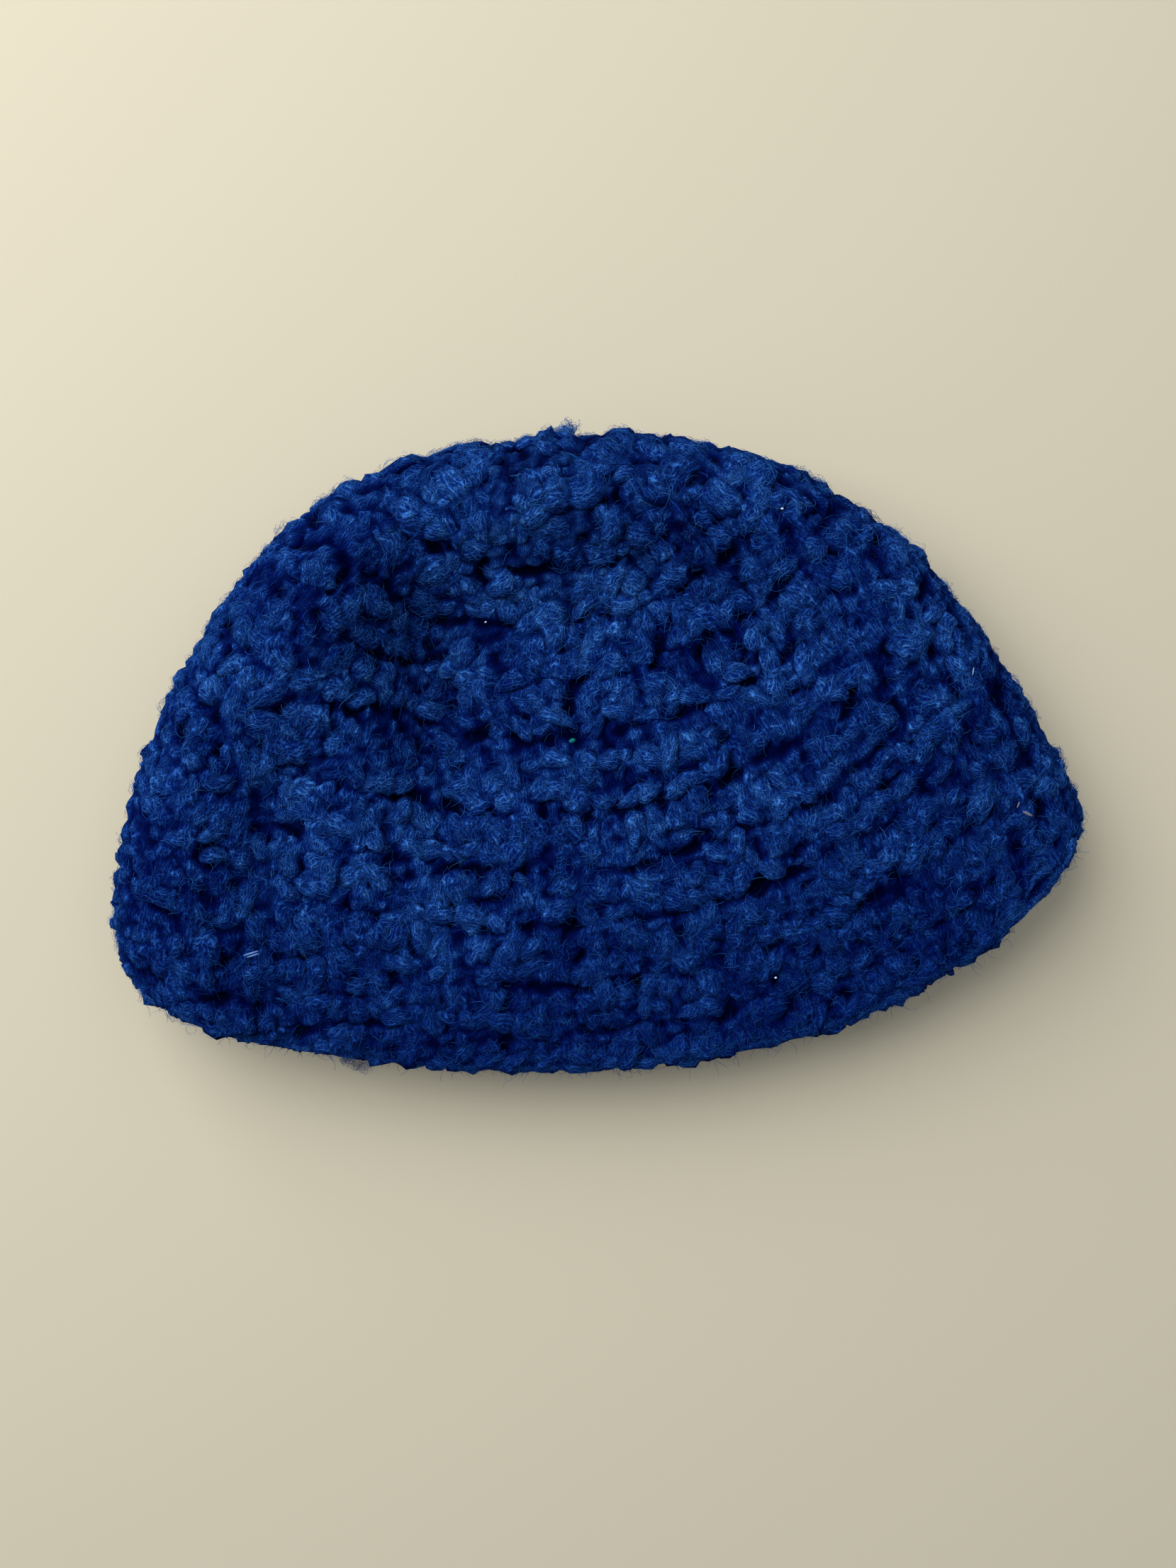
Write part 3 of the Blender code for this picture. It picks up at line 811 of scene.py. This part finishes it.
def makeLobes(name, lobes, template, flip=False):
    points, corners = template
    count = len(lobes["turn"])
    angle, end = np.arctan2(points[:, 2], points[:, 1])[None], points[None, :, 0]
    phase = rng.uniform(0, 2 * math.pi, size=(3, count, 1))
    twisted, ringed, sided = stitch["lumps"]
    lump = (1 + twisted * np.sin(2 * angle + phase[0] + 1.5 * end) + ringed * np.sin(3.4 * end + phase[1])
            + sided * np.sin(3 * angle + phase[2])
            + rng.normal(size=(count, len(points))) * stitch["lumpNoise"])
    lump = lump * (1 + np.clip(rng.normal(size=(count, 1)) * stitch["unevenEnds"], -0.5, 0.5) * end)
    x = points[None, :, 0] * lobes["long"][:, None]
    y = points[None, :, 1] * lobes["wide"][:, None] * lump
    z = points[None, :, 2] * lobes["thick"][:, None] * lump
    places = lobePlaces(lobes, x, y, z)
    for axis in range(3):
        wander = smoothNoise(places.reshape(-1, 3), stitch["wanderLength"], 20 + axis)
        places[..., axis] += stitch["wander"] * wander.reshape(places.shape[:2])
    places[..., 2] = np.maximum(places[..., 2], 0.0003)
    # painted shade: the lower parts of each lobe, and the dent's steep side, are coloured darker through this
    # height
    height = np.clip((z + lobes["level"][:, None]) / yarnTop - paintedDentShade(places), 0.0, 1.0)
    tone = np.repeat(lobes["tone"][:, None], len(points), axis=1)
    # painted highlight: the upper half of each lobe is coloured lighter
    top = np.clip((z / lobes["thick"][:, None] - 0.30) / 0.55, 0.0, 1.0)
    top = np.maximum(top, lobes["edge"][:, None])   # painted light: the edge is coloured lighter, as if lit through its fuzz
    facts = np.stack([height, tone, top, np.ones_like(tone)], axis=2)
    cellMap = turnMap(points, corners)
    if flip:
        corners, cellMap = corners[:, ::-1], cellMap[:, ::-1]
    girth = (lobes["wide"] + lobes["thick"]) * math.pi
    scale = np.stack([girth, lobes["long"] * 2], axis=1)[:, None, :]
    flow = cellMap.reshape(1, -1, 2) * scale + rng.uniform(size=(count, 1, 2))
    return joinCopies(name, places, corners, cellMap, facts, flow, yarnMaterial)


outerLobes = lobesFrom(np.vstack([stitchRows(1), edgeRow()]), 1)
innerLobes = lobesFrom(np.vstack([stitchRows(-1), edgeRow()]), -1)
roundLobe, fullLobe, plainLobe = lobeTemplate(9, 6), lobeTemplate(8, 6), lobeTemplate(7, 5)
above = outerLobes["facing"] > -0.45
zones = {"crown": (0, 4), "middle": (4, 7), "lower": (7, 10), "mouth": (10, 13)}
for zone, (low, high) in zones.items():
    inZone = above & (outerLobes["position"] >= low) & (outerLobes["position"] < high)
    makeLobes("stitches_" + zone, pickLobes(outerLobes, inZone), roundLobe if zone == "crown" else fullLobe)
makeLobes("stitches_under", pickLobes(outerLobes, ~above), plainLobe)
makeLobes("stitches_inside", innerLobes, plainLobe, flip=True)
print("stitches made", len(outerLobes["turn"]), len(innerLobes["turn"]))


# fibres: short ones that follow the yarn, free curls above them, flyaways round the outline
fibres = {
    "hugging": {"count": 9900, "rings": 6, "length": (0.0026, 0.0075), "curl": 420.0, "spread": 0.9,
                "lift": (0.00002, 0.00045), "radius": (0.000032, 0.000062), "paleness": (0.0, 1.0)},
    "curls": {"count": 2200, "rings": 11, "length": (0.0050, 0.0120), "curl": 300.0, "spread": 3.2,
              "lift": (0.0001, 0.0008), "radius": (0.000030, 0.000050), "paleness": (0.0, 1.0)},
    "flyaway": {"count": 9700, "rings": 4, "length": (0.0010, 0.0034), "curl": 700.0, "spread": 3.2,
                "lift": (0.0003, 0.0016), "radius": (0.000024, 0.000042), "paleness": (0.0, 1.0)},
}


def fibreTemplate(rings):
    bm = bmesh.new()
    bmesh.ops.create_cone(bm, cap_ends=True, segments=3, radius1=1.0, radius2=1.0, depth=2.0)
    for cut in np.linspace(-1.0, 1.0, rings)[1:-1]:
        bmesh.ops.bisect_plane(bm, geom=bm.verts[:] + bm.edges[:] + bm.faces[:], dist=1e-6,
                               plane_co=(0.0, 0.0, cut), plane_no=(0.0, 0.0, 1.0))
    points, corners = templateFrom(bm)
    ring = np.rint((points[:, 0] + 1) / 2 * (rings - 1)).astype(int)
    angle = np.arctan2(points[:, 2], points[:, 1])
    return ring, angle, corners, points


def tubesAlong(paths, upward, radius, template):
    ring, angle = template[:2]
    rings = paths.shape[1]
    ahead = np.gradient(paths, axis=1)
    ahead /= np.maximum(np.linalg.norm(ahead, axis=2), 1e-9)[:, :, None]
    sideways = upward[:, None, :] - (upward[:, None, :] * ahead).sum(axis=2)[:, :, None] * ahead
    sideways /= np.maximum(np.linalg.norm(sideways, axis=2), 1e-6)[:, :, None]
    third = np.cross(ahead, sideways)
    share = np.linspace(0.0, 1.0, rings)
    taper = 0.22 + 0.78 * np.sin(math.pi * (0.08 + 0.84 * share)) ** 0.6
    girth = radius[:, None] * taper[None]
    around = sideways[:, ring] * np.cos(angle)[None, :, None] + third[:, ring] * np.sin(angle)[None, :, None]
    return paths[:, ring] + around * girth[:, ring][:, :, None]


def fibrePaths(lobes, kind):
    count, rings = len(lobes["turn"]), kind["rings"]
    length = rng.uniform(*kind["length"], size=count)
    start = rng.uniform(0, 2 * math.pi, size=count)
    out = np.sqrt(rng.uniform(size=count)) * 0.95
    x0, y0 = out * np.cos(start) * lobes["long"], out * np.sin(start) * lobes["wide"]
    heading = rng.normal(size=count) * kind["spread"] + math.pi * rng.integers(0, 2, size=count)
    curl = rng.normal(size=count) * kind["curl"]
    twist = rng.normal(size=count) * kind["curl"] * 0.8
    share = np.linspace(0.0, 1.0, rings)[None]
    way = (heading[:, None] + curl[:, None] * length[:, None] * (share - 0.5)
           + twist[:, None] * length[:, None] * np.sin(2 * math.pi * share) / 4)
    step = (length / (rings - 1))[:, None]
    x = np.cumsum(np.cos(way) * step, axis=1)
    y = np.cumsum(np.sin(way) * step, axis=1)
    x += (x0 - x[:, rings // 2])[:, None]
    y += (y0 - y[:, rings // 2])[:, None]
    q = (x / lobes["long"][:, None]) ** 2 + (y / lobes["wide"][:, None]) ** 2
    lift = rng.uniform(*kind["lift"], size=count)[:, None]
    end = rng.uniform(0.25, 1.0, size=count)[:, None]
    rise = lift * (np.sin(math.pi * share) * 0.7 + end * share ** 2)
    z = lobes["thick"][:, None] * np.sqrt(np.maximum(1 - q, 0.16)) + rise + 0.00003
    # the second value is the height that the fibres' painted shade between the lobes reads
    return lobePlaces(lobes, x, y, z), z + lobes["level"][:, None]


def addFibres(name, kind, paths, upward, level, lit):
    template = fibreTemplate(paths.shape[1])
    ring, _, corners, points = template
    radius = rng.uniform(*kind["radius"], size=len(paths))
    places = tubesAlong(paths, upward, radius, template)
    places[..., 2] = np.maximum(places[..., 2], 0.0001)
    tone = np.repeat(rng.uniform(*kind["paleness"], size=(len(paths), 1)), len(ring), axis=1)
    facts = np.stack([level[:, ring], tone, tone * lit, np.ones_like(tone)], axis=2)
    return joinCopies(name, places, corners, turnMap(points, corners), facts, None, fibreMaterial)


def growFibres(name, lobes, kind):
    paths, height = fibrePaths(lobes, kind)
    addFibres(name, kind, paths, lobes["frame"][:, 6:9], np.clip(height / yarnTop, 0.0, 1.0), 0.0)


def chooseLobes(weights, count):
    return rng.choice(len(weights), size=count, p=weights / weights.sum())


area = outerLobes["long"] * outerLobes["wide"]
seen = np.clip(outerLobes["facing"] * 3 + 1.2, 0.07, 1.0)
hugging = pickLobes(outerLobes, chooseLobes(area * seen, fibres["hugging"]["count"]))
curls = pickLobes(outerLobes, chooseLobes(area * seen * (0.5 + outerLobes["tone"]), fibres["curls"]["count"]))
rim = np.exp(-((outerLobes["facing"] - 0.05) / 0.30) ** 2) + 1.2 * (outerLobes["position"] >= 12) + 0.02
flyaway = pickLobes(outerLobes, chooseLobes(area * rim, fibres["flyaway"]["count"]))
for zone, low, high in (("crown", 0, 6), ("middle", 6, 9), ("mouth", 9, 13)):
    inZone = (hugging["position"] >= low) & (hugging["position"] < high)
    growFibres("fuzz_" + zone, pickLobes(hugging, inZone), fibres["hugging"])
growFibres("fuzz_curls", curls, fibres["curls"])
growFibres("fuzz_outline", flyaway, fibres["flyaway"])
print("fibres grown")


# loose fibres: the brushed yarn end at the crown and the wisp under the mouth's edge
def looseBundle(name, piece, paths):
    paths[..., 2] = np.maximum(paths[..., 2], 0.00025)
    upward = np.tile((0.0, 0.1, 1.0), (len(paths), 1))
    return addFibres(name, piece, paths, upward, np.ones(paths.shape[:2]), 1.0)


def curledPaths(middles, bend, arc, rings=8):  # short fibres, each bent round its own middle
    count = len(middles)
    first = rng.normal(size=(count, 3))
    first /= np.linalg.norm(first, axis=1)[:, None]
    second = np.cross(first, rng.normal(size=(count, 3)))
    second /= np.linalg.norm(second, axis=1)[:, None]
    size = rng.uniform(*bend, size=(count, 1, 1))
    sweep = rng.uniform(0, 2 * math.pi, size=(count, 1))
    turn = sweep + rng.uniform(*arc, size=(count, 1)) * np.linspace(0, 1, rings)
    grow = 1 + 0.5 * rng.normal(size=(count, 1)) * np.linspace(-0.5, 0.5, rings)
    return middles[:, None] + size * (first[:, None] * (np.cos(turn) * grow)[..., None]
                                      + second[:, None] * (np.sin(turn) * grow)[..., None])


tuft = {
    "centre": (0.0108, 0.0770, 0.0190),
    "size": (0.0025, 0.0021, 0.0021),
    "count": 700,
    "bend": (0.0003, 0.0010), "arc": (1.6, 4.6), "radius": (0.000032, 0.000058),
    "paleness": (0.55, 0.95),
}
wisp = {
    "line": ((-0.0665, -0.0628), (-0.0690, -0.0642), (-0.0707, -0.0654), (-0.0731, -0.0667),
             (-0.0705, -0.0693), (-0.0673, -0.0712)),
    "thickness": (0.0010, 0.0008, 0.0009, 0.0007, 0.0006, 0.0005),
    "height": (0.0004, 0.0020),
    "count": 240,
    "bend": (0.0004, 0.0016), "arc": (1.5, 4.0), "radius": (0.000030, 0.000055),
    "paleness": (0.5, 1.0),
}


def makeTuft():
    count = tuft["count"]
    spread = rng.normal(size=(count, 3))
    spread *= (rng.uniform(size=(count, 1)) ** 0.75) / np.linalg.norm(spread, axis=1)[:, None]
    spread *= 1 + 0.45 * smoothNoise(spread, 1.6, 51)[:, None]
    paths = curledPaths(spread * tuft["size"] + tuft["centre"], tuft["bend"], tuft["arc"])
    return looseBundle("crown_tuft", tuft, paths)


def makeWisp():
    count = wisp["count"]
    line = np.array(wisp["line"])
    share = rng.beta(1.1, 1.6, size=count) * (len(line) - 1.001)
    low = share.astype(int)
    spot = line[low] + (line[low + 1] - line[low]) * (share - low)[:, None]
    thick = np.array(wisp["thickness"])[low][:, None]
    beside = spot + rng.normal(size=(count, 2)) * thick * 0.6
    middles = np.column_stack([beside, rng.uniform(*wisp["height"], count)])
    paths = curledPaths(middles, wisp["bend"], wisp["arc"])
    looseBundle("edge_wisp", wisp, paths)


crownTuft = makeTuft()
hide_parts("crown_tail")
makeWisp()
print("loose fibres made")


# lint: small bits caught in the fuzz
lint = {
    "height": 0.0061,
    "bits": (  # x, y, half length, half thickness, turn in degrees, colour
        (-0.0844, -0.0341, 0.00190, 0.00024, 7.0, (0.075, 0.15, 0.36)),
        (-0.0840, -0.0347, 0.00160, 0.00022, 7.0, (0.07, 0.14, 0.34)),
        (0.0565, 0.0468, 0.00034, 0.00024, 0.0, (0.40, 0.52, 0.70)),
        (-0.0166, 0.0341, 0.00030, 0.00020, 30.0, (0.30, 0.42, 0.66)),
        (0.0371, -0.0619, 0.00032, 0.00024, 0.0, (0.38, 0.50, 0.70)),
        (0.0950, 0.0020, 0.00100, 0.00013, 70.0, (0.18, 0.30, 0.55)),
        (-0.0010, 0.0023, 0.00080, 0.00052, 10.0, (0.006, 0.105, 0.11)),
        (0.1024, -0.0335, 0.00130, 0.00030, -35.0, (0.12, 0.11, 0.14)),
        (0.1005, -0.0310, 0.00080, 0.00020, 60.0, (0.10, 0.10, 0.15))),
}


def makeLint():
    points, corners = lobeTemplate(8, 6)
    places, facts = [], []
    for x, y, long, thick, degrees, tint in lint["bits"]:
        turn, position = nearestUpper(x, y)
        z = onFabric(np.array([turn]), np.array([position]), np.array([lint["height"]]))[0, 2]
        cos, sin = math.cos(math.radians(degrees)), math.sin(math.radians(degrees))
        across, along, up = points[:, 0] * long, points[:, 1] * thick, points[:, 2] * thick
        places.append(np.column_stack([x + across * cos - along * sin,
                                       y + across * sin + along * cos, z + up]))
        facts.append(np.tile((*tint, 1.0), (len(points), 1)))
    look = Look("lintBits", {"Roughness": 0.7})
    look.lead(look.node("ShaderNodeAttribute", {"attribute_name": "lobe"}), "Base Color")
    joinCopies("lint", np.array(places), corners, turnMap(points, corners), np.array(facts), None,
               look.material)


makeLint()
print("lint made")


# stage: a pale floor, window light from the upper left, and the camera straight above
stage = {
    "floorSize": 3.0,
    "floor": colour(0.420, 0.388, 0.302),
    "lamps": (  # name, place, size, power, tint
        ("window", (-0.45, 0.56, 0.70), 1.15, 19.3, (1.0, 0.99, 0.97)),
        ("room", (0.35, 0.30, 1.10), 1.4, 4.5, (0.97, 0.98, 1.0))),
    "air": colour(0.92, 0.96, 1.0),
    "airStrength": 0.38,
    "roll": -9.96,
    "middle": (0.0009, -0.0085),
    "away": 0.345,
    "level": 0.018,
    "frameWidth": 0.288,
    "sensor": 36.0,
}


def makeFloor():
    bm = bmesh.new()
    bmesh.ops.create_grid(bm, x_segments=1, y_segments=1, size=stage["floorSize"])
    mesh = bpy.data.meshes.new("floor")
    bm.to_mesh(mesh)
    bm.free()
    mesh.materials.append(Look("paleFloor", {"Roughness": 0.85, "Base Color": stage["floor"]}).material)
    addObject("floor", mesh)


def addLamp(name, place, size, power, tint):
    data = bpy.data.lights.new(name, "AREA")
    data.shape, data.size, data.energy, data.color = "DISK", size, power, tint
    lamp = addObject(name, data)
    lamp.location = place
    lamp.rotation_euler = (-Vector(place)).to_track_quat("-Z", "Y").to_euler()


def fillWithAir():
    world = bpy.data.worlds.new("room")
    world.use_nodes = True
    background = world.node_tree.nodes["Background"]
    background.inputs[0].default_value = stage["air"]
    background.inputs[1].default_value = stage["airStrength"]
    bpy.context.scene.world = world


def addCamera():
    lens = bpy.data.cameras.new("camera")
    lens.sensor_fit, lens.sensor_width = "HORIZONTAL", stage["sensor"]
    lens.lens = stage["sensor"] * stage["away"] / stage["frameWidth"]
    lens.clip_start = 0.01
    camera = addObject("camera", lens)
    camera.location = (*stage["middle"], stage["level"] + stage["away"])
    camera.rotation_euler = (0.0, 0.0, math.radians(stage["roll"]))
    bpy.context.scene.camera = camera


makeFloor()
for lamp in stage["lamps"]:
    addLamp(*lamp)
fillWithAir()
addCamera()
bpy.context.scene.view_settings.view_transform = "Standard"
print("stage set")
